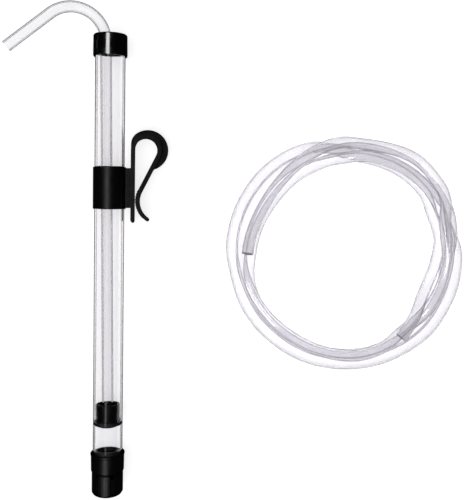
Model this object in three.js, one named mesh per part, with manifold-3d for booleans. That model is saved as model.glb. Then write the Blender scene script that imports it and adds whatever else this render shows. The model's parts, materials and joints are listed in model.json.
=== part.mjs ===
// A stroke-pump siphon for tanks and jars, lying on a flat surface beside its coiled hose.
// Millimetres. In the pump's own frame the tube runs along +Y from the foot's underside at Y = 0,
// the cane's hook bends towards -X and the clip stands out towards +X. The pump is rolled about its
// tube until the clip nearly meets the surface, and the frame's origin is under the pump's middle.

import * as THREE from 'three';
import { mergeVertices } from 'three/addons/utils/BufferGeometryUtils.js';
import Module from 'manifold-3d';

// Clearances and smoothness
const GAP = 0.3;
const ROUND = 48;
const ROUND_INNER = 32;

// Outer tube, the pump's barrel. It is one tube in two nodes that meet under the clip's ring, so that
// each is short enough for its collision pieces to leave the bore open
const TUBE_R = 12.7;
const TUBE_WALL = 1.6;
const TUBE_TOP = 392.8;
const TUBE_SEAM = 266.4;
const BORE_R = TUBE_R - TUBE_WALL;

// Foot: a collar pushed on the tube, a check valve inside the tube, and a sediment cup below
const COLLAR_R = 14.8;
const COLLAR_LOW = 20.5;
const COLLAR_TOP = 36.3;
const WEB_TOP = 24;
const INLET_R = 4.5;
const SEAT_RIM_R = INLET_R + 1.9;
const STUB_R = 6.5;
const STUB_LOW = 6;
const PLUG_R = BORE_R - GAP;
const PLUG_TOP = 37.2;
const CHAMBER_R = 8.6;
const SEAT_Y = 27;
const DISC_R = 7.4;
const DISC_LOW = SEAT_Y + 0.8;
const PIN_R = 1.4;
const DISC_HEIGHT = 1.8;
const CAGE_LOW = 33.5;
const CAGE_TOP = 36.6;
const CAGE_RIM = 1.7;
const CAGE_EYE_R = PIN_R + 0.4;
const CAGE_EYE_WALL = 1.4;
const CAGE_SPOKES = 3;
const CAGE_SPOKE_HALF = 0.8;
const CUP_CORE_R = 12.2;
const CUP_RIB_R = 13.5;
const CUP_RIB_TOP = 19.8;
const CUP_RIM = 16;
const CUP_FLOOR = 2.2;
const CUP_SLOTS = 6;
const CUP_SLOT_WIDTH = 3.5;
const CUP_SLOT_DEPTH = 2.5;
const CUP_SLOT_TURN = THREE.MathUtils.degToRad(15);
const CUP_PORT_REACH = 9.4;
const CUP_PORT_HALF = 2;

// Cap on the tube's upper end
const CAP_LOW = 377.5;
const CAP_TOP = 396.1;
const CAP_R = 14.5;
const CAP_HOLE_R = 10.4;
const CAP_LIP = 3;

// Cane and piston. The cane leans a little in the tube, about the piston
const CANE_R = 4.8;
const CANE_WALL = 1;
const CANE_LEAN = THREE.MathUtils.degToRad(0.64);
const PISTON_LOW = 60;
const PISTON_HEIGHT = 18.3;
const HUB_R = 10.1;
const HUB_WALL = 1.7;
const HUB_FLOOR = 9;
const NIPPLE_R = 7;
const SEAL_LOW = 61.6;
const SEAL_TOP = 64.8;
const SHANK = 330.2;
const HOOK_R = 28.1;
const HOOK_TURN = THREE.MathUtils.degToRad(129);
const HOOK_STEPS = 16;
const HOOK_ARM = 46;

// Clip: a ring round the tube, a flat strip beside it, and a looped spring arm that presses on the strip
const RING_R = 14;
const RING_LOW = 248.5;
const RING_TOP = 284.2;
const NECK_HALF = 4.5;
const BAND_HALF = 1.65;
const CLIP_HALF = 6.5;
const STRIP_X = 19.75;
const STRIP_LOW = 238.35;
const STRIP_TOP = 298.4;
const JAW_LOW = 272;
const LOOP_X = 31.2;
const LOOP_Y = 299.3;
const LOOP_R = LOOP_X - STRIP_X;
const LOOP_END = THREE.MathUtils.degToRad(-26.8);
const LOOP_STEPS = 28;
const ARM_LENGTH = 34;
const TIP_R = 19;
const TIP_TURN = THREE.MathUtils.degToRad(82);
const TIP_STEPS = 20;
const TOOTH = 0.4;
const TEETH_FROM_TIP = [6, 18];
const RIB_X = 32.4;
const RIB_Y = 299;
const RIB_R = 17.3;
const RIB_START = THREE.MathUtils.degToRad(146);
const RIB_END = THREE.MathUtils.degToRad(-76);
const RIB_WEB_HALF = 3;
const RIB_RIM = 1;
const RIB_RIM_HALF = 4.5;
const RIB_CREASE = 0.4;

// How the pump lies, and the hose coil beside it
const PUMP_ROLL = THREE.MathUtils.degToRad(10.6);
const COIL_X = 205.3;
const COIL_Y = 211.1;
const COIL_R = 91;
const COIL_HALF = 11.5;
const COIL_HEIGHT = 22;
const COIL_BEVEL = 4;

const wasm = await Module();
wasm.setup();

const clearPlastic = { color: 0xe4e6ee, roughness: 0.08, metalness: 0, transparent: true, opacity: 0.3 };
const blackPlastic = { color: 0x0b0b0c, roughness: 0.3, metalness: 0 };
const blackRubber = { color: 0x101011, roughness: 0.6, metalness: 0 };
const clearVinyl = { color: 0xe9eaf0, roughness: 0.2, metalness: 0, transparent: true, opacity: 0.5 };

function named(name, geometry, look) {
  const mesh = new THREE.Mesh(geometry, new THREE.MeshStandardMaterial(look));
  mesh.name = name;
  return mesh;
}

// A solid turned about Y from [radius, height] corners, which run anticlockwise from the inner foot
function turned(corners, segments = ROUND) {
  const profile = corners.map(([radius, height]) => new THREE.Vector2(radius, height));
  if (profile[0].x > 0) profile.push(profile[0].clone());
  return new THREE.LatheGeometry(profile, segments);
}

function toSolid(geometry) {
  const bare = geometry.clone();
  bare.deleteAttribute('normal');
  bare.deleteAttribute('uv');
  const merged = mergeVertices(bare, 1e-4);
  const corners = [];
  const index = merged.index.array;
  for (let i = 0; i < index.length; i += 3) {
    const [a, b, c] = [index[i], index[i + 1], index[i + 2]];
    if (a !== b && b !== c && c !== a) corners.push(a, b, c);
  }
  return new wasm.Manifold(new wasm.Mesh({
    numProp: 3,
    vertProperties: new Float32Array(merged.attributes.position.array),
    triVerts: new Uint32Array(corners),
  }));
}

function toGeometry(solid) {
  const mesh = solid.getMesh();
  const geometry = new THREE.BufferGeometry();
  geometry.setAttribute('position', new THREE.BufferAttribute(mesh.vertProperties, 3));
  geometry.setIndex(new THREE.BufferAttribute(mesh.triVerts, 1));
  geometry.computeVertexNormals();
  return geometry;
}

function joined(geometries) {
  return geometries.map(toSolid).reduce((whole, solid) => whole.add(solid));
}

// A box from its two extreme corners, turned about the Y axis
function block(low, high, turn = 0) {
  const size = high.map((value, axis) => value - low[axis]);
  const geometry = new THREE.BoxGeometry(...size);
  geometry.translate(...low.map((value, axis) => value + size[axis] / 2));
  geometry.rotateY(turn);
  return geometry;
}

// A flat outline in the XY plane, given its thickness evenly to both sides of Z = 0
function slab(points, half) {
  const shape = new THREE.Shape(points);
  const geometry = new THREE.ExtrudeGeometry(shape, { depth: 2 * half, bevelEnabled: false });
  geometry.translate(0, 0, -half);
  return geometry;
}

function arcPoints(x, y, radius, start, end, steps) {
  const points = [];
  for (let i = 0; i <= steps; i += 1) {
    const angle = start + (end - start) * i / steps;
    points.push(new THREE.Vector2(x + radius * Math.cos(angle), y + radius * Math.sin(angle)));
  }
  return points;
}

// A path that goes through its stations only, so a straight run takes a single step
class Stations extends THREE.Curve {
  constructor(points, tangents) {
    super();
    this.points = points;
    this.tangents = tangents;
  }

  index(u) {
    return Math.round(u * (this.points.length - 1));
  }

  getPointAt(u) {
    return this.points[this.index(u)].clone();
  }

  getTangentAt(u) {
    return this.tangents[this.index(u)].clone();
  }
}

function outerTube(name, low, top) {
  return named(name, turned([
    [BORE_R, low],
    [TUBE_R, low],
    [TUBE_R, top],
    [BORE_R, top],
  ]), clearPlastic);
}

function topCap() {
  const skirt = TUBE_R + GAP;
  const lip = CAP_TOP - CAP_LIP;
  return named('top_cap', turned([
    [skirt, CAP_LOW],
    [CAP_R - 0.8, CAP_LOW],
    [CAP_R, CAP_LOW + 1],
    [CAP_R - 0.3, CAP_TOP - 0.9],
    [CAP_R - 1.1, CAP_TOP],
    [CAP_HOLE_R + 0.8, CAP_TOP],
    [CAP_HOLE_R, CAP_TOP - 0.8],
    [CAP_HOLE_R, lip],
    [skirt, lip],
  ]), blackPlastic);
}

function footCollar() {
  const socket = TUBE_R + GAP;
  return named('foot_collar', turned([
    [INLET_R, STUB_LOW],
    [STUB_R, STUB_LOW],
    [STUB_R, COLLAR_LOW],
    [COLLAR_R - 0.9, COLLAR_LOW],
    [COLLAR_R - 0.6, COLLAR_LOW + 0.6],
    [COLLAR_R - 0.4, COLLAR_TOP - 1.9],
    [COLLAR_R, COLLAR_TOP - 1.4],
    [COLLAR_R, COLLAR_TOP - 0.4],
    [COLLAR_R - 0.4, COLLAR_TOP],
    [socket + 0.3, COLLAR_TOP],
    [socket, COLLAR_TOP - 0.4],
    [socket, WEB_TOP],
    [INLET_R, WEB_TOP],
  ]), blackPlastic);
}

function valvePlug() {
  const low = WEB_TOP + GAP;
  return named('valve_plug', turned([
    [INLET_R, low],
    [PLUG_R, low],
    [PLUG_R, PLUG_TOP - 1],
    [PLUG_R - 1, PLUG_TOP],
    [CHAMBER_R, PLUG_TOP],
    [CHAMBER_R, SEAT_Y],
    [SEAT_RIM_R, SEAT_Y],
    [SEAT_RIM_R - 0.4, SEAT_Y + 0.5],
    [SEAT_RIM_R - 1, SEAT_Y + 0.5],
    [INLET_R, SEAT_Y - 0.2],
  ], ROUND_INNER), blackPlastic);
}

function valveDisc() {
  const top = DISC_LOW + DISC_HEIGHT;
  return named('valve_disc', turned([
    [0, DISC_LOW],
    [DISC_R, DISC_LOW],
    [DISC_R, top - 0.4],
    [DISC_R - 0.5, top],
    [PIN_R, top],
    [PIN_R, CAGE_TOP - 1],
    [0, CAGE_TOP - 1],
  ], ROUND_INNER), blackRubber);
}

function valveCage() {
  const rim = CHAMBER_R - GAP;
  const ring = (inner, outer) => turned([
    [inner, CAGE_LOW],
    [outer, CAGE_LOW],
    [outer, CAGE_TOP],
    [inner, CAGE_TOP],
  ], ROUND_INNER);
  const pieces = [ring(rim - CAGE_RIM, rim), ring(CAGE_EYE_R, CAGE_EYE_R + CAGE_EYE_WALL)];
  const spokeLow = [CAGE_EYE_R + CAGE_EYE_WALL / 2, CAGE_LOW + 0.4, -CAGE_SPOKE_HALF];
  const spokeHigh = [rim - CAGE_RIM / 2, CAGE_TOP - 0.4, CAGE_SPOKE_HALF];
  for (let i = 0; i < CAGE_SPOKES; i += 1) {
    pieces.push(block(spokeLow, spokeHigh, 2 * Math.PI * i / CAGE_SPOKES));
  }
  return named('valve_cage', toGeometry(joined(pieces)), blackPlastic);
}

function sedimentCup() {
  const hub = STUB_R + GAP;
  const core = turned([
    [0, 0],
    [CUP_CORE_R - 0.6, 0],
    [CUP_CORE_R, 0.6],
    [CUP_CORE_R, CUP_RIM],
    [CUP_CORE_R - 1.8, CUP_RIM],
    [CUP_CORE_R - 1.8, CUP_FLOOR],
    [hub + 1.4, CUP_FLOOR],
    [hub + 1.4, CUP_RIM - 2],
    [hub, CUP_RIM - 2],
    [hub, CUP_FLOOR],
    [0, CUP_FLOOR],
  ]);
  const ribs = turned([
    [CUP_CORE_R - 0.6, 0.5],
    [CUP_CORE_R + 0.2, 0.5],
    [CUP_RIB_R, CUP_FLOOR],
    [CUP_RIB_R, CUP_RIB_TOP - 0.8],
    [CUP_RIB_R - 0.7, CUP_RIB_TOP],
    [CUP_CORE_R - 0.6, CUP_RIB_TOP],
  ]);
  const half = CUP_SLOT_WIDTH / 2;
  const beyond = CUP_RIB_R + 1;
  const groove = [[CUP_CORE_R, CUP_FLOOR, -half], [beyond, CUP_RIM, half]];
  const notch = [[beyond - CUP_SLOT_DEPTH - 1, CUP_RIM, -half], [beyond, CUP_RIB_TOP + 1, half]];
  const port = [[-CUP_PORT_REACH, CUP_FLOOR, -CUP_PORT_HALF], [CUP_PORT_REACH, STUB_LOW + 1, CUP_PORT_HALF]];
  let cup = joined([core, ribs]);
  for (let i = 0; i < CUP_SLOTS; i += 1) {
    const turn = CUP_SLOT_TURN + 2 * Math.PI * i / CUP_SLOTS - Math.PI / 2;
    cup = cup.subtract(toSolid(block(...groove, turn)));
    cup = cup.subtract(toSolid(block(...notch, turn)));
  }
  for (const turn of [0, Math.PI / 2]) {
    cup = cup.subtract(toSolid(block(...port, turn)));
  }
  return named('sediment_cup', toGeometry(cup), blackPlastic);
}

function pistonSeal() {
  const inner = NIPPLE_R + GAP;
  const lip = BORE_R - GAP;
  return named('piston_seal', turned([
    [inner, SEAL_LOW],
    [lip - 1.2, SEAL_LOW],
    [lip, SEAL_LOW + 0.8],
    [lip, SEAL_LOW + 1.6],
    [lip - 0.5, SEAL_TOP],
    [inner, SEAL_TOP],
  ], ROUND_INNER), blackRubber);
}

// The hub and the cane are drawn upright in a frame of their own, whose Y axis is the cane's
function pistonHub() {
  const bore = CANE_R + GAP;
  const shoulder = SEAL_TOP + GAP - PISTON_LOW;
  return named('piston_hub', turned([
    [bore, 0],
    [NIPPLE_R + 0.4, 0],
    [NIPPLE_R + 0.8, 0.4],
    [NIPPLE_R + 0.8, 1],
    [NIPPLE_R, 1.2],
    [NIPPLE_R, shoulder],
    [HUB_R + 0.4, shoulder],
    [HUB_R + 0.4, shoulder + 1.3],
    [HUB_R - 0.3, shoulder + 2.9],
    [HUB_R, PISTON_HEIGHT - 0.5],
    [HUB_R - 0.4, PISTON_HEIGHT],
    [HUB_R - HUB_WALL + 0.4, PISTON_HEIGHT],
    [HUB_R - HUB_WALL, PISTON_HEIGHT - 0.4],
    [HUB_R - HUB_WALL, HUB_FLOOR],
    [bore, HUB_FLOOR],
  ], ROUND_INNER), blackPlastic);
}

function rackingCane() {
  const points = [new THREE.Vector3(0, 1, 0)];
  const tangents = [new THREE.Vector3(0, 1, 0)];
  for (let i = 0; i <= HOOK_STEPS; i += 1) {
    const angle = HOOK_TURN * i / HOOK_STEPS;
    const across = HOOK_R * (Math.cos(angle) - 1);
    points.push(new THREE.Vector3(across, SHANK + HOOK_R * Math.sin(angle), 0));
    tangents.push(new THREE.Vector3(-Math.sin(angle), Math.cos(angle), 0));
  }
  const outward = tangents.at(-1);
  points.push(points.at(-1).clone().addScaledVector(outward, HOOK_ARM));
  tangents.push(outward.clone());

  const section = new THREE.Shape().absarc(0, 0, CANE_R, 0, 2 * Math.PI, false);
  section.holes.push(new THREE.Path().absarc(0, 0, CANE_R - CANE_WALL, 0, 2 * Math.PI, true));
  const tube = new THREE.ExtrudeGeometry(section, {
    steps: points.length - 1,
    curveSegments: 12,
    extrudePath: new Stations(points, tangents),
  });
  return named('racking_cane', tube, clearPlastic);
}

function clipBody() {
  const inner = TUBE_R + GAP;
  const ring = turned([
    [inner, RING_LOW],
    [RING_R - GAP, RING_LOW],
    [RING_R, RING_LOW + GAP],
    [RING_R, RING_TOP - GAP],
    [RING_R - GAP, RING_TOP],
    [inner, RING_TOP],
  ]);
  const neckLow = [inner + 0.1, RING_LOW + 0.8, -NECK_HALF];
  const neckHigh = [STRIP_X, RING_TOP - 0.8, NECK_HALF];
  const strip = slab([
    ...arcPoints(STRIP_X, STRIP_LOW, BAND_HALF, Math.PI, 2 * Math.PI, 8),
    new THREE.Vector2(STRIP_X + BAND_HALF, JAW_LOW),
    new THREE.Vector2(STRIP_X - BAND_HALF, JAW_LOW),
  ], CLIP_HALF);
  // The strip's upper length, where the jaw stands open
  const jaw = block([STRIP_X - BAND_HALF, JAW_LOW, -CLIP_HALF], [STRIP_X + BAND_HALF, STRIP_TOP, CLIP_HALF]);
  const body = joined([ring, block(neckLow, neckHigh), strip, jaw]);
  return named('clip_body', toGeometry(body), blackPlastic);
}

// The arm's middle line as [x, y, heading] stations, from the strip's top round the loop to the tip
function armStations() {
  const stations = [[STRIP_X, STRIP_TOP + 2 * GAP, Math.PI / 2]];
  for (let i = 0; i <= LOOP_STEPS; i += 1) {
    const angle = Math.PI + (LOOP_END - Math.PI) * i / LOOP_STEPS;
    const [x, y] = [LOOP_X + LOOP_R * Math.cos(angle), LOOP_Y + LOOP_R * Math.sin(angle)];
    stations.push([x, y, angle - Math.PI / 2]);
  }
  const [x, y, heading] = stations.at(-1);
  const bendX = x + ARM_LENGTH * Math.cos(heading) - TIP_R * Math.sin(heading);
  const bendY = y + ARM_LENGTH * Math.sin(heading) + TIP_R * Math.cos(heading);
  for (let i = 0; i <= TIP_STEPS; i += 1) {
    const turn = heading + TIP_TURN * i / TIP_STEPS;
    stations.push([bendX + TIP_R * Math.sin(turn), bendY - TIP_R * Math.cos(turn), turn]);
  }
  return stations;
}

function clipArm() {
  const stations = armStations();
  const [lastTooth, firstTooth] = TEETH_FROM_TIP.map((count) => stations.length - count);
  const offset = ([x, y, heading], distance) => new THREE.Vector2(
    x - distance * Math.sin(heading),
    y + distance * Math.cos(heading),
  );
  const outside = stations.map((station) => offset(station, BAND_HALF));
  const inside = stations.map((station, i) => {
    const toothed = i >= firstTooth && i <= lastTooth && i % 2 === 0;
    return offset(station, -BAND_HALF - (toothed ? TOOTH : 0));
  });
  const [tipX, tipY, tipHeading] = stations.at(-1);
  const quarter = Math.PI / 2;
  const tip = arcPoints(tipX, tipY, BAND_HALF, tipHeading + quarter, tipHeading - quarter, 8).slice(1, -1);
  const band = slab([...outside, ...tip, ...inside.reverse()], CLIP_HALF);

  const rimOuter = arcPoints(RIB_X, RIB_Y, RIB_R, RIB_START, RIB_END, 32);
  const rimInner = arcPoints(RIB_X, RIB_Y, RIB_R - RIB_RIM, RIB_END, RIB_START, 32);
  const [loopEnd, armEnd] = stations.slice(LOOP_STEPS + 1, LOOP_STEPS + 3);
  const crease = [0, 1].map((axis) => THREE.MathUtils.lerp(loopEnd[axis], armEnd[axis], RIB_CREASE));
  const buried = [
    new THREE.Vector2(...crease),
    ...arcPoints(LOOP_X, LOOP_Y, LOOP_R, LOOP_END, RIB_START, 24),
  ];
  const web = slab([...rimOuter, ...buried], RIB_WEB_HALF);
  const rim = slab([...rimOuter, ...rimInner], RIB_RIM_HALF);
  return named('clip_arm', toGeometry(joined([band, web, rim])), blackPlastic);
}

function hoseCoil() {
  const [low, high] = [COIL_R - COIL_HALF, COIL_R + COIL_HALF];
  const coil = named('hose_coil', turned([
    [low + COIL_BEVEL, 0],
    [high - COIL_BEVEL, 0],
    [high, COIL_BEVEL],
    [high, COIL_HEIGHT - COIL_BEVEL],
    [high - COIL_BEVEL, COIL_HEIGHT],
    [low + COIL_BEVEL, COIL_HEIGHT],
    [low, COIL_HEIGHT - COIL_BEVEL],
    [low, COIL_BEVEL],
  ], 64), clearVinyl);
  coil.rotation.x = Math.PI / 2;
  coil.position.set(COIL_X, COIL_Y, 0);
  return coil;
}

const cane = new THREE.Group();
cane.add(rackingCane(), pistonHub());
cane.position.y = PISTON_LOW;
cane.rotation.z = CANE_LEAN;

const pump = new THREE.Group();
pump.add(outerTube('outer_tube_lower', WEB_TOP + GAP, TUBE_SEAM - GAP / 2));
pump.add(outerTube('outer_tube_upper', TUBE_SEAM + GAP / 2, TUBE_TOP));
pump.add(topCap(), footCollar(), valvePlug(), valveDisc(), valveCage(), sedimentCup());
pump.add(pistonSeal(), cane, clipBody(), clipArm());
pump.position.z = COLLAR_R;
pump.rotation.y = PUMP_ROLL;

const siphon = new THREE.Group();
siphon.add(pump, hoseCoil());
siphon.updateMatrixWorld(true);
const extent = new THREE.Box3().setFromObject(pump, true);
const middle = extent.getCenter(new THREE.Vector3());
pump.position.z -= extent.min.z;
siphon.position.set(-middle.x, -middle.y, 0);

export default siphon;
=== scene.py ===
"""Look of the stroke-pump siphon and its coiled hose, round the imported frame. Row frame, metres."""

import json
import math

import bmesh
import bpy
import numpy as np
from mathutils import Matrix, Vector

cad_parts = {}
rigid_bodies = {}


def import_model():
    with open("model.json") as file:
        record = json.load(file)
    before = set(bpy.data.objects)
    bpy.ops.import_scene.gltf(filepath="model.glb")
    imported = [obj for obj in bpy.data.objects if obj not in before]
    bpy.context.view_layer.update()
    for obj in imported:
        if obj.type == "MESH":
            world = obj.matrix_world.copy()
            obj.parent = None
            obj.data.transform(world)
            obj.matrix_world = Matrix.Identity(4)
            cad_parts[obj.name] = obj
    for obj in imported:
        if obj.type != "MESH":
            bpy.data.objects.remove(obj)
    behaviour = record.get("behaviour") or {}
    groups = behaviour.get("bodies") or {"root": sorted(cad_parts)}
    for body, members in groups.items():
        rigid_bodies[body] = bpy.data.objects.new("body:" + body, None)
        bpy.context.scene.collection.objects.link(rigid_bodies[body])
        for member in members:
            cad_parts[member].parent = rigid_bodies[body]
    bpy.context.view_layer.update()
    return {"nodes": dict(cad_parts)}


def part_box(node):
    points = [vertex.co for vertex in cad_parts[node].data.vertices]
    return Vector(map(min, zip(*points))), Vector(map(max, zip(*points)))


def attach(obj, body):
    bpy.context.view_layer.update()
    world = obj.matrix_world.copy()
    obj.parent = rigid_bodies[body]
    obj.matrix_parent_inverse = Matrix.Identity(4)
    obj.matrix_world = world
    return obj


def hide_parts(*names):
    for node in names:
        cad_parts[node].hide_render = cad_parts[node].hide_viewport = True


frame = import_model()

MM = 0.001

# Blacks and whites come out as they are lit, without a film curve
bpy.context.scene.view_settings.view_transform = "Standard"


# -------------------------------------------------------- camera
# Above the gap between pump and coil, tipped by nearly three degrees and turned by about one
CAMERA_PLACE = (0.12434, 0.06304, 0.615)
CAMERA_TIP = math.radians(-2.73)
CAMERA_TURN = math.radians(0.885)
camera_data = bpy.data.cameras.new("camera")
camera_data.lens = 50.4
camera_data.sensor_width = 36
camera_data.shift_y = -0.0726
camera_data.clip_start = 0.01
camera_data.clip_end = 20
camera = bpy.data.objects.new("camera", camera_data)
bpy.context.scene.collection.objects.link(camera)
camera.matrix_world = (
    Matrix.Translation(CAMERA_PLACE)
    @ Matrix.Rotation(CAMERA_TIP, 4, "X")
    @ Matrix.Rotation(CAMERA_TURN, 4, "Z")
)
bpy.context.scene.camera = camera


# -------------------------------------------------------- pump frame
# The pump's own frame: x across towards the clip, s along the tube from the foot, z through the
# thickness, in millimetres. The cane has a frame of its own, which leans about the piston
ROLL = math.radians(10.6)
AXIS_Z = (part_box("foot_collar")[0].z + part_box("foot_collar")[1].z) / 2
AXIS_X = (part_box("foot_collar")[0].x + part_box("foot_collar")[1].x) / 2
FOOT_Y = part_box("sediment_cup")[0].y
PUMP = (
    Matrix.Translation((AXIS_X, FOOT_Y, AXIS_Z))
    @ Matrix.Rotation(ROLL, 4, "Y")
    @ Matrix.Scale(MM, 4)
)
LEAN = math.radians(0.64)
PISTON_LOW = 60
CANE = PUMP @ Matrix.Translation((0, PISTON_LOW, 0)) @ Matrix.Rotation(LEAN, 4, "Z")


# -------------------------------------------------------- node helpers
def new_material(name):
    material = bpy.data.materials.new(name)
    material.use_nodes = True
    tree = material.node_tree
    tree.nodes.clear()
    output = tree.nodes.new("ShaderNodeOutputMaterial")
    shader = tree.nodes.new("ShaderNodeBsdfPrincipled")
    tree.links.new(shader.outputs["BSDF"], output.inputs["Surface"])
    return material, tree, shader, output


def object_coords(tree, scale=(1, 1, 1)):
    coords = tree.nodes.new("ShaderNodeTexCoord")
    mapping = tree.nodes.new("ShaderNodeMapping")
    mapping.inputs["Scale"].default_value = scale
    tree.links.new(coords.outputs["Object"], mapping.inputs["Vector"])
    return mapping.outputs["Vector"]


def noise(tree, vector, scale, detail=3.0, roughness=0.5):
    node = tree.nodes.new("ShaderNodeTexNoise")
    node.inputs["Scale"].default_value = scale
    node.inputs["Detail"].default_value = detail
    node.inputs["Roughness"].default_value = roughness
    tree.links.new(vector, node.inputs["Vector"])
    return node.outputs["Fac"]


def spread(tree, value, low, high, start=0.3, end=0.7):
    node = tree.nodes.new("ShaderNodeMapRange")
    node.inputs["From Min"].default_value = start
    node.inputs["From Max"].default_value = end
    node.inputs["To Min"].default_value = low
    node.inputs["To Max"].default_value = high
    tree.links.new(value, node.inputs["Value"])
    return node.outputs["Result"]


def ramp(tree, value, stops):
    node = tree.nodes.new("ShaderNodeValToRGB")
    elements = node.color_ramp.elements
    while len(elements) < len(stops):
        elements.new(0.5)
    for element, (place, colour) in zip(elements, stops):
        element.position = place
        element.color = (*colour, 1)
    tree.links.new(value, node.inputs["Fac"])
    return node.outputs["Color"]


def bump(tree, height, strength, distance, shader=None, before=None):
    """Relief on a shader, or relief for another bump to start from when there is no shader."""
    node = tree.nodes.new("ShaderNodeBump")
    node.inputs["Strength"].default_value = strength
    node.inputs["Distance"].default_value = distance
    tree.links.new(height, node.inputs["Height"])
    if before is not None:
        tree.links.new(before, node.inputs["Normal"])
    if shader is not None:
        tree.links.new(node.outputs["Normal"], shader.inputs["Normal"])
    return node.outputs["Normal"]


def let_lamps_through(tree, shader, output, tint):
    """Shadow rays pass the clear wall, tinted, so that the lamps light the floor below it."""
    light_path = tree.nodes.new("ShaderNodeLightPath")
    through = tree.nodes.new("ShaderNodeBsdfTransparent")
    through.inputs["Color"].default_value = (*tint, 1)
    mix = tree.nodes.new("ShaderNodeMixShader")
    tree.links.new(light_path.outputs["Is Shadow Ray"], mix.inputs["Fac"])
    tree.links.new(shader.outputs["BSDF"], mix.inputs[1])
    tree.links.new(through.outputs["BSDF"], mix.inputs[2])
    tree.links.new(mix.outputs["Shader"], output.inputs["Surface"])


def paint_edge_shade(tree, shader, stops):
    """Painted edge shade: darkens what passes the wall little face on, strongly where seen edge on."""
    facing = tree.nodes.new("ShaderNodeLayerWeight")
    facing.inputs["Blend"].default_value = 0.5
    tree.links.new(ramp(tree, facing.outputs["Facing"], stops), shader.inputs["Base Color"])


def clear_acrylic(name, stops, tint):
    """Polished clear tube: faint draw lines along it, and handling marks here and there in the gloss."""
    material, tree, shader, output = new_material(name)
    everywhere = object_coords(tree)
    # Painted shade: the wall darkens towards where it is seen edge on
    paint_edge_shade(tree, shader, stops)
    shader.inputs["Transmission Weight"].default_value = 1.0
    shader.inputs["IOR"].default_value = 1.49
    handled = noise(tree, everywhere, scale=60, detail=4, roughness=0.6)
    tree.links.new(spread(tree, handled, low=0.0, high=0.02), shader.inputs["Roughness"])
    drawn = noise(tree, object_coords(tree, (1, 0.04, 1)), scale=900, detail=2)
    bump(tree, drawn, strength=0.006, distance=0.00003, shader=shader)
    let_lamps_through(tree, shader, output, tint)
    return material


def milky_vinyl():
    """Soft clear hose with a slight haze, rougher in patches, and a faint ripple from coiling."""
    material, tree, shader, output = new_material("milky_vinyl")
    everywhere = object_coords(tree)
    cloud = noise(tree, everywhere, scale=35, detail=4, roughness=0.6)
    # Painted shade: the hose darkens towards where it is seen edge on
    paint_edge_shade(tree, shader, [
        (0.0, (0.966, 0.957, 0.975)),
        (0.42, (0.935, 0.925, 0.952)),
        (0.64, (0.6, 0.59, 0.64)),
        (0.84, (0.08, 0.08, 0.1)),
    ])
    shader.inputs["Transmission Weight"].default_value = 0.9
    shader.inputs["IOR"].default_value = 1.42
    tree.links.new(spread(tree, cloud, low=0.0, high=0.05), shader.inputs["Roughness"])
    ripple = noise(tree, everywhere, scale=120, detail=2)
    bump(tree, ripple, strength=0.02, distance=0.0001, shader=shader)
    let_lamps_through(tree, shader, output, (0.95, 0.95, 0.955))
    return material


def cut_vinyl_painted_shade():
    """The knife-cut face of the hose: frosted, with fine drag marks, and painted darker grey as shade.
    """
    material, tree, shader, _ = new_material("cut_vinyl_painted_shade")
    marks = noise(tree, object_coords(tree), scale=1500, detail=3, roughness=0.6)
    # Painted shade: the cut face is a darker grey than the hose, with the frost's marks in it
    frost_and_painted_shade = ramp(tree, marks, [(0.3, (0.2, 0.2, 0.215)), (0.7, (0.34, 0.34, 0.36))])
    tree.links.new(frost_and_painted_shade, shader.inputs["Base Color"])
    tree.links.new(spread(tree, marks, low=0.35, high=0.6), shader.inputs["Roughness"])
    bump(tree, marks, strength=0.2, distance=0.0001, shader=shader)
    return material


def black_moulding(name, base, roughness, grain, gloss=0.5):
    """Moulded black: a hint of flow in the colour, fine grain, and handling marks in the gloss."""
    material, tree, shader, _ = new_material(name)
    everywhere = object_coords(tree)
    flow = noise(tree, object_coords(tree, (1, 0.3, 1)), scale=90, detail=3, roughness=0.55)
    lighter = tuple(c * 1.8 for c in base)
    tree.links.new(ramp(tree, flow, [(0.3, base), (0.75, lighter)]), shader.inputs["Base Color"])
    handled = noise(tree, everywhere, scale=140, detail=4, roughness=0.65)
    low, high = roughness
    tree.links.new(spread(tree, handled, low, high), shader.inputs["Roughness"])
    shader.inputs["IOR"].default_value = 1.5
    shader.inputs["Specular IOR Level"].default_value = gloss
    fine = bump(tree, noise(tree, everywhere, scale=2600, detail=2), strength=grain, distance=0.00006)
    waves = noise(tree, everywhere, scale=300, detail=2)
    bump(tree, waves, strength=0.08, distance=0.0001, shader=shader, before=fine)
    return material


# What a lamp's light keeps of each colour on its way through an acrylic wall
ACRYLIC_TINT = (0.995, 0.994, 0.997)
# The ramps below are painted edge shade: near white face on, near black where a wall is seen edge on
ACRYLIC = clear_acrylic("clear_acrylic", [
    (0.0, (0.972, 0.967, 0.978)),
    (0.56, (0.96, 0.955, 0.965)),
    (0.67, (0.28, 0.28, 0.29)),
    (0.79, (0.01, 0.01, 0.01)),
], ACRYLIC_TINT)
CANE_ACRYLIC = clear_acrylic("cane_acrylic", [
    (0.0, (0.985, 0.98, 0.99)),
    (0.42, (0.972, 0.967, 0.977)),
    (0.52, (0.15, 0.15, 0.15)),
    (0.62, (0.004, 0.004, 0.004)),
], ACRYLIC_TINT)
VINYL = milky_vinyl()
CUT_VINYL_PAINTED_SHADE = cut_vinyl_painted_shade()
BLACK = black_moulding("black_moulding", (0.0016, 0.0016, 0.0018), roughness=(0.1, 0.2), grain=0.1)
SATIN_BLACK = black_moulding(
    "satin_moulding", (0.0018, 0.0018, 0.002), roughness=(0.3, 0.42), grain=0.2, gloss=0.07
)
CLIP_BLACK = black_moulding(
    "clip_moulding", (0.002, 0.002, 0.0022), roughness=(0.3, 0.4), grain=0.3, gloss=0.05
)
RUBBER = black_moulding(
    "soft_rubber", (0.005, 0.005, 0.0055), roughness=(0.5, 0.65), grain=0.35, gloss=0.1
)


# -------------------------------------------------------- mesh helpers
TUBE_SIDES = 32


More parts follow.
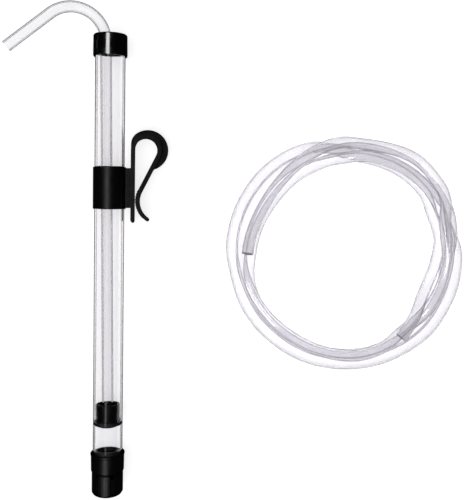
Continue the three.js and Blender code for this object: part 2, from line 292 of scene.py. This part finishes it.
def add_mesh(name, verts, faces, material, body, smooth_deg=35):
    mesh = bpy.data.meshes.new(name)
    mesh.from_pydata([tuple(v) for v in verts], [], faces)
    work = bmesh.new()
    work.from_mesh(mesh)
    bmesh.ops.recalc_face_normals(work, faces=work.faces)
    work.to_mesh(mesh)
    work.free()
    mesh.materials.append(material)
    mesh.shade_smooth()
    mesh.set_sharp_from_angle(angle=math.radians(smooth_deg))
    piece = bpy.data.objects.new(name, mesh)
    bpy.context.scene.collection.objects.link(piece)
    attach(piece, body)
    return piece


def lathe(profile, segments=96):
    """Verts and faces of a closed [radius, height] profile turned about the Y axis."""
    count = len(profile)
    verts = []
    for k in range(segments):
        angle = 2 * math.pi * k / segments
        verts += [Vector((r * math.sin(angle), y, r * math.cos(angle))) for r, y in profile]
    faces = []
    for k in range(segments):
        a, b = k * count, (k + 1) % segments * count
        for i in range(count):
            j = (i + 1) % count
            faces.append((a + i, a + j, b + j, b + i))
    return verts, faces


def rounded(corners, radius, steps=3):
    """A closed profile with each corner turned into a small arc."""
    points = []
    count = len(corners)
    for i, corner in enumerate(corners):
        here = Vector(corner)
        back, on = Vector(corners[i - 1]) - here, Vector(corners[(i + 1) % count]) - here
        reach = min(radius, back.length * 0.45, on.length * 0.45)
        start, end = here + back.normalized() * reach, here + on.normalized() * reach
        for k in range(steps + 1):
            t = k / steps
            points.append((start * (1 - t) ** 2 + here * 2 * t * (1 - t) + end * t * t)[:])
    return points


def turned(name, corners, material, body, place=PUMP, radius=0.35, segments=96):
    verts, faces = lathe(rounded(corners, radius), segments)
    return add_mesh(name, [place @ v for v in verts], faces, material, body)


def tube_along(centres, frames, outer, inner):
    """A hollow tube with a circle of the outer and one of the inner radius at every centre."""
    sides = TUBE_SIDES
    verts, faces = [], []
    for centre, (across, up) in zip(centres, frames):
        for radius in (outer, inner):
            for k in range(sides):
                angle = 2 * math.pi * k / sides
                sideways = across * (radius * math.cos(angle))
                upward = up * (radius * math.sin(angle))
                verts.append(centre + sideways + upward)
    ring = 2 * sides
    last = len(centres) - 1
    for i in range(last):
        a, b = i * ring, (i + 1) * ring
        for k in range(sides):
            n = (k + 1) % sides
            faces.append((a + k, a + n, b + n, b + k))
            faces.append((a + sides + n, a + sides + k, b + sides + k, b + sides + n))
    for k in range(sides):
        n = (k + 1) % sides
        faces.append((k, sides + k, sides + n, n))
        e = last * ring
        faces.append((e + k, e + n, e + sides + n, e + sides + k))
    return verts, faces


# -------------------------------------------------------- hose
# The middle of the hose as it winds anticlockwise about the coil's centre from its upper end, in not
# quite four turns that weave over and under each other. Millimetres, but for the centre in metres
HOSE_D = 10.0
HOSE_R = HOSE_D / 2
HOSE_BORE_R = 4.0
COIL_X, COIL_Y = 0.22387, -0.00028
COIL_HEIGHT = 22
# Degrees on the coil's circle where the route starts, then (degrees onward, distance from the centre)
HOSE_START = 304.0
HOSE_ROUTE = [
    # first turn: out of the coil's inside, then outermost on the left
    (0, 84.5), (14, 78.5), (14, 75.2), (14, 77), (14, 81.8), (15, 85.8), (20, 88.0), (25, 87.8),
    (25, 88.2), (10, 90.3), (10, 93.8), (10, 96.6), (10, 99), (25, 99.4), (30, 98.2), (30, 96.8),
    (30, 94.2), (22, 93), (28, 95), (14, 94),
    # second turn: outermost on the lower right, innermost on the upper left
    (16, 95), (15, 96), (10, 96), (15, 93.8), (15, 91.4), (15, 90.4), (15, 89.8), (15, 89),
    (15, 87.8), (10, 87.2), (15, 86.4), (15, 83.2), (15, 80.6), (15, 79.8), (20, 81.5), (15, 84.2),
    (15, 87.6), (15, 89.6), (30, 90.2), (22, 91), (15, 91), (13, 90.8), (14, 90.2),
    # third turn: in the middle all round
    (16, 90.4), (15, 90.6), (25, 90.2), (15, 91.2), (15, 94), (15, 95.8), (15, 95.4), (15, 93),
    (15, 91.6), (15, 91), (15, 92.4), (15, 93.2), (15, 93.3), (15, 92.8), (15, 91.8), (15, 89.8),
    (10, 88.6), (10, 87.3), (20, 85.6), (15, 86), (20, 87.3), (7, 88), (13, 86.6), (14, 85.4),
    # last part turn: inside on the lower right, outermost at the top, ends on the left
    (14, 84.6), (14, 85), (13, 86), (15, 86.9), (15, 89), (5, 90.6), (10, 94.5), (10, 98.9),
    (15, 101.7), (15, 98.5), (15, 95.9), (20, 93.8), (15, 90.3), (15, 86), (15, 83.8), (15, 84.6),
    (15, 86.8),
]


def catmull(points, per_span):
    """Points on a smooth curve through every given point."""
    padded = [points[0] * 2 - points[1], *points, points[-1] * 2 - points[-2]]
    out = []
    for i in range(1, len(padded) - 2):
        p0, p1, p2, p3 = (np.array(p, float) for p in padded[i - 1 : i + 3])
        for k in range(per_span):
            t = k / per_span
            out.append(
                0.5 * (2 * p1 + (p2 - p0) * t + (2 * p0 - 5 * p1 + 4 * p2 - p3) * t**2
                       + (3 * p1 - p0 - 3 * p2 + p3) * t**3)
            )
    out.append(np.array(points[-1], float))
    return np.array(out)


def evenly(line, step):
    along = np.concatenate([[0], np.cumsum(np.linalg.norm(np.diff(line, axis=0), axis=1))])
    at = np.linspace(0, along[-1], int(round(along[-1] / step)) + 1)
    return np.stack([np.interp(at, along, line[:, k]) for k in range(line.shape[1])], axis=1)


# Points along the hose, counted from its upper end. The first ones lie on top of the turns they cross,
# lifted by up to HEAD_LIFT until only HEAD_CLEAR of the lift is left, and the first HEAD of them keep
# their place seen from above. From there to GROUNDED the hose starts on the floor, and over its whole
# length it starts as a ramp of START_RISE
HEAD = 14
CROSSING = 16
GROUNDED = 40
HEAD_LIFT = 12
HEAD_CLEAR = 0.25
START_RISE = 13
# How the hose is laid: spacing of its points, points too near along the hose to touch each other,
# and in each round its fall, how far touching turns move apart, the pull back to the route, and the
# hose's stiffness up and down and from side to side
LAY_SPACING, FINAL_SPACING = 4.0, 3.2
NEIGHBOURS = 8
LAY_ROUNDS = 260
FALL = 0.16
APART_ACROSS, APART_UP = 0.45, 1.1
ROUTE_PULL = 0.12
STIFF_UP, STIFF_ACROSS = 0.45, 0.15
FLOOR_CLEAR = 0.05


def hose_line():
    """The hose's middle line, laid turn upon turn: points fall until the floor or a turn holds them."""
    angle, stations = HOSE_START, []
    for turn, radius in HOSE_ROUTE:
        angle += turn
        stations.append(np.array((math.radians(angle), radius)))
    polar = catmull(stations, 8)
    flat = np.stack([polar[:, 1] * np.cos(polar[:, 0]), polar[:, 1] * np.sin(polar[:, 0])], axis=1)
    flat = evenly(flat, LAY_SPACING)
    count = len(flat)
    index = np.arange(count)
    height = HOSE_R + START_RISE * np.linspace(0, 1, count)
    head = np.clip(1 - index / CROSSING, 0, 1)
    held = np.where(head > HEAD_CLEAR, HOSE_R + HEAD_LIFT * head, 0)
    height = np.maximum(height, held)
    height[CROSSING:GROUNDED] = HOSE_R
    line = np.concatenate([flat, height[:, None]], axis=1)
    apart = np.abs(index[:, None] - index[None, :]) > NEIGHBOURS
    for _ in range(LAY_ROUNDS):
        line[:, 2] -= FALL
        for _ in range(2):
            gap = line[:, None, :] - line[None, :, :]
            distance = np.linalg.norm(gap, axis=2)
            close = apart & (distance < HOSE_D)
            depth = np.where(close, HOSE_D - distance, 0)
            push = gap / np.maximum(distance, 0.3)[:, :, None] * depth[:, :, None]
            weight = np.maximum(close.sum(1), 1)[:, None]
            move = 0.5 * push.sum(1) / weight
            line[:, :2] += APART_ACROSS * move[:, :2]
            line[:, 2] += APART_UP * move[:, 2]
        line[:, :2] += ROUTE_PULL * (flat - line[:, :2])
        for _ in range(2):
            middle = 0.5 * (line[:-2] + line[2:])
            line[1:-1, 2] += STIFF_UP * (middle[:, 2] - line[1:-1, 2])
            line[1:-1, :2] += STIFF_ACROSS * (middle[:, :2] - line[1:-1, :2])
        line[:, 2] = np.clip(line[:, 2], HOSE_R + FLOOR_CLEAR, COIL_HEIGHT - HOSE_R)
        line[:, 2] = np.maximum(line[:, 2], held)
        line[:HEAD, :2] = flat[:HEAD]
    line = evenly(line, FINAL_SPACING)
    for _ in range(3):
        line[1:-1] += 0.3 * (0.5 * (line[:-2] + line[2:]) - line[1:-1])
    return line * MM + np.array((COIL_X, COIL_Y, 0))


hose_path = [Vector(p) for p in hose_line()]
hose_frames = []
for i, point in enumerate(hose_path):
    heading = hose_path[min(i + 1, len(hose_path) - 1)] - hose_path[max(i - 1, 0)]
    heading.normalize()
    across = heading.cross(Vector((0, 0, 1))).normalized()
    hose_frames.append((across, across.cross(heading)))
verts, faces = tube_along(hose_path, hose_frames, HOSE_R * MM, HOSE_BORE_R * MM)
hose = add_mesh("hose", verts, faces, VINYL, "hose", 60)
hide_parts("hose_coil")

# The cut faces are thin frosted rings, painted darker as shade, that stand just proud of the hose's two
# ends
CUT_DEPTH, CUT_PROUD = 0.7 * MM, 0.02 * MM
for name, end, inward in (("hose_cut_upper", 0, 1), ("hose_cut_lower", -1, -2)):
    start = hose_path[end]
    heading = (hose_path[inward] - start).normalized()
    verts, faces = tube_along(
        [start - heading * CUT_PROUD, start + heading * CUT_DEPTH],
        [hose_frames[end], hose_frames[end]],
        HOSE_R * MM + CUT_PROUD,
        HOSE_BORE_R * MM - CUT_PROUD,
    )
    add_mesh(name, verts, faces, CUT_VINYL_PAINTED_SHADE, "hose", 60)


# -------------------------------------------------------- clear tubes
# The barrel is one tube here, in place of the frame's two nodes
turned(
    "barrel_tube",
    [(11.1, 24.3), (12.7, 24.3), (12.7, 392.8), (11.1, 392.8)],
    ACRYLIC, "barrel", radius=0.25, segments=160,
)
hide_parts("outer_tube_lower", "outer_tube_upper")

# The cane: a straight shank, a bend round the hook's centre, and a straight arm to the outlet
CANE_R, CANE_BORE_R = 4.8, 3.8
CANE_FOOT, SHANK, HOOK_R, HOOK_TURN, HOOK_ARM = 1, 330.2, 28.1, math.radians(129), 46
SHANK_STATIONS, HOOK_STEPS, HOOK_ARM_STEPS = 40, 48, 8
stations = [(Vector((0, s, 0)), 0.0) for s in np.linspace(CANE_FOOT, SHANK, SHANK_STATIONS)]
for i in range(1, HOOK_STEPS + 1):
    turn = HOOK_TURN * i / HOOK_STEPS
    centre = Vector((HOOK_R * (math.cos(turn) - 1), SHANK + HOOK_R * math.sin(turn), 0))
    stations.append((centre, turn))
end, turn = stations[-1]
outward = Vector((-math.sin(turn), math.cos(turn), 0))
for i in range(1, HOOK_ARM_STEPS + 1):
    stations.append((end + outward * (HOOK_ARM * i / HOOK_ARM_STEPS), turn))
cane_axes = CANE.to_3x3().normalized()
depth = cane_axes @ Vector((0, 0, 1))
cane_centres, cane_frames = [], []
for centre, turn in stations:
    cane_centres.append(CANE @ centre)
    cane_frames.append((cane_axes @ Vector((math.cos(turn), math.sin(turn), 0)), depth))
verts, faces = tube_along(cane_centres, cane_frames, CANE_R * MM, CANE_BORE_R * MM)
cane = add_mesh("cane_tube", verts, faces, CANE_ACRYLIC, "cane", 50)
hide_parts("racking_cane")


# -------------------------------------------------------- black pieces turned on the tube's axis
# Each is a closed section of (radius, s). The cap grips the tube inside and out
turned(
    "cap",
    [(13, 377.5), (14.1, 377.5), (14.5, 378.6), (14.3, 395.2), (13.5, 396.1), (11.1, 396.1),
     (10.4, 395.3), (10.4, 379.1), (11.13, 379.1), (11.13, 393.1), (13, 393.1)],
    BLACK, "barrel",
)
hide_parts("top_cap")
turned(
    "collar",
    [(4.5, 6), (6.5, 6), (6.5, 20.5), (13.9, 20.5), (14.2, 21.1), (14.4, 34.4), (14.8, 34.9),
     (14.8, 35.9), (14.4, 36.3), (13.3, 36.3), (13, 35.9), (13, 24), (4.5, 24)],
    SATIN_BLACK, "barrel", radius=0.25,
)
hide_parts("foot_collar")
turned(
    "plug",
    [(4.5, 24.35), (11.13, 24.35), (11.13, 38.9), (10.6, 39.3), (8.6, 39.3), (8.6, 27), (6.4, 27),
     (6, 27.5), (5.4, 27.5), (4.5, 26.8)],
    RUBBER, "barrel", radius=0.2,
)
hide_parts("valve_plug")
# The hub is an open cup with fine rings moulded low on its outside, and a flange that meets the bore
turned(
    "piston_cup",
    [(5.1, 0), (7.4, 0), (7.8, 0.4), (7.8, 1), (7, 1.2), (7, 5.1), (11.13, 5.1), (11.13, 6.2),
     (10.2, 6.5), (9.8, 8.0), (10.05, 8.4), (9.85, 8.9), (10.1, 9.4), (9.9, 9.9), (10.1, 10.6),
     (10.1, 19.5), (9.7, 20.0), (8.8, 20.0), (8.4, 19.6), (8.4, 9), (5.1, 9)],
    SATIN_BLACK, "cane", place=CANE, radius=0.18,
)
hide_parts("piston_hub")
turned(
    "seal_ring",
    [(7.3, 61.2), (10.6, 61.2), (11.13, 61.8), (11.13, 64.4), (10.6, 65.0), (7.3, 65.0)],
    RUBBER, "seal", radius=0.2,
)
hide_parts("piston_seal")


# -------------------------------------------------------- clip
# One band, from the strip beside the tube up to the pivot, round the loop, down the arm and out along
# a toothed tip. BAND is half its thickness and CLIP_HALF half its width
STRIP_X, STRIP_LOW, PIVOT_S = 19.75, 238.35, 298.7
BAND, CLIP_HALF = 1.65, 6.5
LOOP_X, LOOP_S, LOOP_R = 31.2, 299.3, 11.45
LOOP_END = math.radians(-26.8)
ARM_LENGTH, TIP_R, TIP_TURN = 34, 19, math.radians(82)
LOOP_STEPS, ARM_STEPS, TIP_STEPS, END_STEPS = 48, 24, 96, 10
# The spring arm is this much narrower on each side than the strip
ARM_INSET = 0.05
TOOTH, TOOTH_STEPS, TOOTHLESS_STEPS = 0.38, 8, 14
# The crescent outside the loop: its outer circle, how soon it reaches full width, how far down the arm
# it ends, the rim's width, and half the thickness of web and rim
RIB_X, RIB_S, RIB_R, RIB_END = 32.4, 299, 17.3, math.radians(-76)
RIB_STEPS, RIB_GROWTH, RIB_ARM_STEPS = 64, math.radians(52), 9
RIB_BURIED, RIM_WIDTH, RIM_ROOT = 0.2, 1, 0.25
WEB_HALF, RIM_HALF = 3, 4.5
# The ring round the tube, and the neck from ring to strip
RING_SECTION = [(13, 248.5), (14, 248.5), (14, 284.2), (13, 284.2)]
NECK_OUTLINE = [
    (13.2, 249.3), (18.6, 249.3), (STRIP_X, 248.4), (STRIP_X, 285.6), (18.4, 283.6), (13.2, 283.4),
]
NECK_HALF = 4.5
SOFT_EDGE = 0.3


def slab(outline, half):
    """Verts and faces of a closed outline in the pump's x, s plane, as thick as half to both sides."""
    count = len(outline)
    verts = [Vector((x, s, z)) for z in (-half, half) for x, s in outline]
    faces = [tuple(range(count))[::-1], tuple(range(count, 2 * count))]
    for i in range(count):
        j = (i + 1) % count
        faces.append((i, j, count + j, count + i))
    return verts, faces


def shells(*parts):
    """Several closed shells as one set of verts and faces."""
    verts, faces = [], []
    for part_verts, part_faces in parts:
        base = len(verts)
        verts += part_verts
        faces += [tuple(base + i for i in face) for face in part_faces]
    return verts, faces


def arc(x, s, radius, start, end, steps):
    turns = [start + (end - start) * i / steps for i in range(steps + 1)]
    return [(x + radius * math.cos(a), s + radius * math.sin(a)) for a in turns]


def soften(piece, width, angle_deg=40):
    edge = piece.modifiers.new("soft_edges", "BEVEL")
    edge.width = width * MM
    edge.segments = 3
    edge.limit_method = "ANGLE"
    edge.angle_limit = math.radians(angle_deg)
    edge.harden_normals = True
    return piece


def arm_line():
    """The spring arm's middle line, (x, s, heading), from the strip's top round the loop to the tip."""
    line = [(STRIP_X, PIVOT_S, math.pi / 2)]
    for i in range(LOOP_STEPS + 1):
        a = math.pi + (LOOP_END - math.pi) * i / LOOP_STEPS
        line.append((LOOP_X + LOOP_R * math.cos(a), LOOP_S + LOOP_R * math.sin(a), a - math.pi / 2))
    x, s, heading = line[-1]
    for i in range(1, ARM_STEPS):
        t = ARM_LENGTH * i / ARM_STEPS
        line.append((x + t * math.cos(heading), s + t * math.sin(heading), heading))
    bend_x = x + ARM_LENGTH * math.cos(heading) - TIP_R * math.sin(heading)
    bend_s = s + ARM_LENGTH * math.sin(heading) + TIP_R * math.cos(heading)
    for i in range(TIP_STEPS + 1):
        a = heading + TIP_TURN * i / TIP_STEPS
        line.append((bend_x + TIP_R * math.sin(a), bend_s - TIP_R * math.cos(a), a))
    return line


def clip_arm_shells():
    line = arm_line()
    bent = len(line) - TIP_STEPS - 1

    def beside(station, distance):
        x, s, heading = station
        return x - distance * math.sin(heading), s + distance * math.cos(heading)

    # fine teeth on the side that faces the strip, from just above the bend to short of the tip
    inner = []
    for i, station in enumerate(line):
        phase = (i - bent) % TOOTH_STEPS / TOOTH_STEPS
        toothed = bent <= i <= len(line) - TOOTHLESS_STEPS
        tooth = TOOTH * math.sin(math.pi * phase) if toothed else 0
        inner.append(beside(station, -BAND - tooth))
    outer = [beside(station, BAND) for station in line]
    x, s, heading = line[-1]
    tip = arc(x, s, BAND, heading + math.pi / 2, heading - math.pi / 2, END_STEPS)[1:-1]
    root = arc(STRIP_X, PIVOT_S, BAND, 0, -math.pi, END_STEPS)[1:-1]
    band = slab([*outer, *tip, *inner[::-1], *root], CLIP_HALF - ARM_INSET)

    # the crescent outside the loop: a thin web set back from the band's side, with a rim along its edge
    start = math.pi
    loop_edge = LOOP_R + BAND - RIB_BURIED
    rim_outer, rim_inner, buried = [], [], []
    for i in range(RIB_STEPS + 1):
        a = start + (RIB_END - start) * i / RIB_STEPS
        grow = min(1, (start - a) / RIB_GROWTH)
        grow = grow * grow * (3 - 2 * grow)
        near = (LOOP_X + loop_edge * math.cos(a), LOOP_S + loop_edge * math.sin(a))
        far = (RIB_X + RIB_R * math.cos(a), RIB_S + RIB_R * math.sin(a))
        back = (RIB_X + (RIB_R - RIM_WIDTH) * math.cos(a), RIB_S + (RIB_R - RIM_WIDTH) * math.sin(a))
        rim_outer.append(tuple(n + (f - n) * grow for n, f in zip(near, far)))
        rim_inner.append(tuple(
            n - RIM_ROOT * (n - c) / LOOP_R + (b - n) * grow
            for n, b, c in zip(near, back, (LOOP_X, LOOP_S))
        ))
        if a >= LOOP_END:
            buried.append((LOOP_X + LOOP_R * math.cos(a), LOOP_S + LOOP_R * math.sin(a)))
    end_x, end_s, _ = line[LOOP_STEPS + 1 + RIB_ARM_STEPS]
    web = slab([*rim_outer, (end_x, end_s), *buried[::-1]], WEB_HALF)
    rim = slab([*rim_outer, *rim_inner[::-1]], RIM_HALF)
    return shells(band, web, rim)


def clip_body_shells():
    ring = lathe(rounded(RING_SECTION, SOFT_EDGE))
    neck = slab(NECK_OUTLINE, NECK_HALF)
    low_end = arc(STRIP_X, STRIP_LOW, BAND, math.pi, 2 * math.pi, 12)
    high_end = arc(STRIP_X, PIVOT_S, BAND, 0, math.pi, 12)
    return shells(ring, neck, slab([*low_end, *high_end], CLIP_HALF))


for name, (verts, faces), body, node_name in (
    ("clip_holder", clip_body_shells(), "clip", "clip_body"),
    ("clip_spring_arm", clip_arm_shells(), "clip_spring", "clip_arm"),
):
    piece = add_mesh(name, [PUMP @ v for v in verts], faces, CLIP_BLACK, body)
    soften(piece, SOFT_EDGE)
    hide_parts(node_name)


# -------------------------------------------------------- black pieces carried over from the frame
for node_name, material in (
    ("sediment_cup", SATIN_BLACK),
    ("valve_cage", SATIN_BLACK),
    ("valve_disc", RUBBER),
):
    node = frame["nodes"][node_name]
    node.data.materials.clear()
    node.data.materials.append(material)
soften(frame["nodes"]["sediment_cup"], SOFT_EDGE)


# -------------------------------------------------------- floor and light
# Most of the floor's brightness is its own glow, like a light table's, and one large soft lamp adds the
# rest, so that it stays light below the clear tubes and nothing casts a hard shadow
FLOOR_REACH, FLOOR_STEPS, FLOOR_PLACE = 1.6, 24, (0.1, 0, -0.0004)
FLOOR_GLOW = 0.74
FILL_PLACE, FILL_AIM, FILL_SIZE, FILL_POWER = (0.12, 0, 1.6), (0.12, 0, 0), (2.2, 2.2), 11
# The other lamps only give highlights. Strip and glint hang in one place, left of the pump
STRIP_PLACE, STRIP_AIM = (-0.09, 0.0, 0.80), (0.02, 0, 0.02)
STRIP_SIZE, STRIP_POWER = (1.6, 0.30), 26
GLINT_SIZE, GLINT_POWER = (1.6, 0.20), 0.8
HOSE_GLINT_PLACE, HOSE_GLINT_AIM = (-0.08, -0.30, 0.80), (0.22, 0, 0)
HOSE_GLINT_SIZE, HOSE_GLINT_POWER = (0.4, 0.4), 5
# The world is lightest towards this direction
WORLD_LIGHT = (-0.45, -0.85, -0.2)
WORLD_DARKEST, WORLD_LIGHTEST = 0.01, 0.75


def area_light(name, place, aim, size, power):
    """A soft rectangular lamp that the camera doesn't see itself."""
    data = bpy.data.lights.new(name, "AREA")
    data.shape = "RECTANGLE"
    data.size, data.size_y = size
    data.energy = power
    light = bpy.data.objects.new(name, data)
    bpy.context.scene.collection.objects.link(light)
    light.location = place
    towards = Vector(aim) - Vector(place)
    light.rotation_euler = towards.to_track_quat("-Z", "Y").to_euler()
    light.visible_camera = False
    return light


def add_floor():
    mesh = bpy.data.meshes.new("floor")
    grid = bmesh.new()
    bmesh.ops.create_grid(grid, x_segments=FLOOR_STEPS, y_segments=FLOOR_STEPS, size=FLOOR_REACH)
    grid.to_mesh(mesh)
    grid.free()
    floor = bpy.data.objects.new("floor", mesh)
    floor.location = FLOOR_PLACE
    bpy.context.scene.collection.objects.link(floor)
    material, tree, shader, _ = new_material("studio_floor")
    grain = noise(tree, object_coords(tree), scale=500, detail=2)
    paper = ramp(tree, grain, [(0.3, (0.93, 0.93, 0.93)), (0.7, (0.95, 0.95, 0.95))])
    tree.links.new(paper, shader.inputs["Base Color"])
    shader.inputs["Roughness"].default_value = 0.9
    shader.inputs["Specular IOR Level"].default_value = 0.1
    shader.inputs["Emission Color"].default_value = (1, 1, 1, 1)
    shader.inputs["Emission Strength"].default_value = FLOOR_GLOW
    mesh.materials.append(material)
    floor.visible_glossy = False


def studio_world():
    """Dim and cool overhead, lighter low on the near left, which clear walls pick up at their edges.

    Glossy reflections see next to nothing of it, so that the blacks stay black. The camera sees a plain
    pale room.
    """
    world = bpy.data.worlds.new("world")
    bpy.context.scene.world = world
    world.use_nodes = True
    tree = world.node_tree
    tree.nodes.clear()
    output = tree.nodes.new("ShaderNodeOutputWorld")
    coords = tree.nodes.new("ShaderNodeTexCoord")
    side = tree.nodes.new("ShaderNodeVectorMath")
    side.operation = "DOT_PRODUCT"
    side.inputs[1].default_value = Vector(WORLD_LIGHT).normalized()
    tree.links.new(coords.outputs["Generated"], side.inputs[0])
    level = spread(tree, side.outputs["Value"], WORLD_DARKEST, WORLD_LIGHTEST, start=0.0, end=1.0)
    seen = tree.nodes.new("ShaderNodeBackground")
    seen.inputs["Color"].default_value = (0.8, 0.805, 0.815, 1)
    room = tree.nodes.new("ShaderNodeBackground")
    room.inputs["Color"].default_value = (0.94, 0.94, 1.0, 1)
    tree.links.new(level, room.inputs["Strength"])
    unlit = tree.nodes.new("ShaderNodeBackground")
    unlit.inputs["Color"].default_value = (0.004, 0.004, 0.005, 1)
    light_path = tree.nodes.new("ShaderNodeLightPath")
    by_gloss = tree.nodes.new("ShaderNodeMixShader")
    tree.links.new(light_path.outputs["Is Glossy Ray"], by_gloss.inputs["Fac"])
    tree.links.new(room.outputs[0], by_gloss.inputs[1])
    tree.links.new(unlit.outputs[0], by_gloss.inputs[2])
    by_view = tree.nodes.new("ShaderNodeMixShader")
    tree.links.new(light_path.outputs["Is Camera Ray"], by_view.inputs["Fac"])
    tree.links.new(by_gloss.outputs[0], by_view.inputs[1])
    tree.links.new(seen.outputs[0], by_view.inputs[2])
    tree.links.new(by_view.outputs[0], output.inputs["Surface"])


add_floor()
studio_world()
fill = area_light("fill", FILL_PLACE, FILL_AIM, FILL_SIZE, FILL_POWER)
fill.visible_glossy = False
fill.visible_transmission = False
strip = area_light("strip", STRIP_PLACE, STRIP_AIM, STRIP_SIZE, STRIP_POWER)
glint = area_light("glint", STRIP_PLACE, STRIP_AIM, GLINT_SIZE, GLINT_POWER)
hose_glint = area_light(
    "hose_glint", HOSE_GLINT_PLACE, HOSE_GLINT_AIM, HOSE_GLINT_SIZE, HOSE_GLINT_POWER
)
# Each highlight lamp lights its own materials only: the strip is too strong for the clear ones
BLACKS = (BLACK, SATIN_BLACK, CLIP_BLACK, RUBBER)
for lamp, lit_materials in (
    (strip, BLACKS),
    (glint, (ACRYLIC, CANE_ACRYLIC)),
    (hose_glint, (VINYL,)),
):
    lamp.visible_diffuse = False
    lit = bpy.data.collections.new(lamp.name + "_lights")
    for piece in bpy.context.scene.objects:
        if piece.type == "MESH" and any(m in lit_materials for m in piece.data.materials):
            lit.objects.link(piece)
    lamp.light_linking.receiver_collection = lit
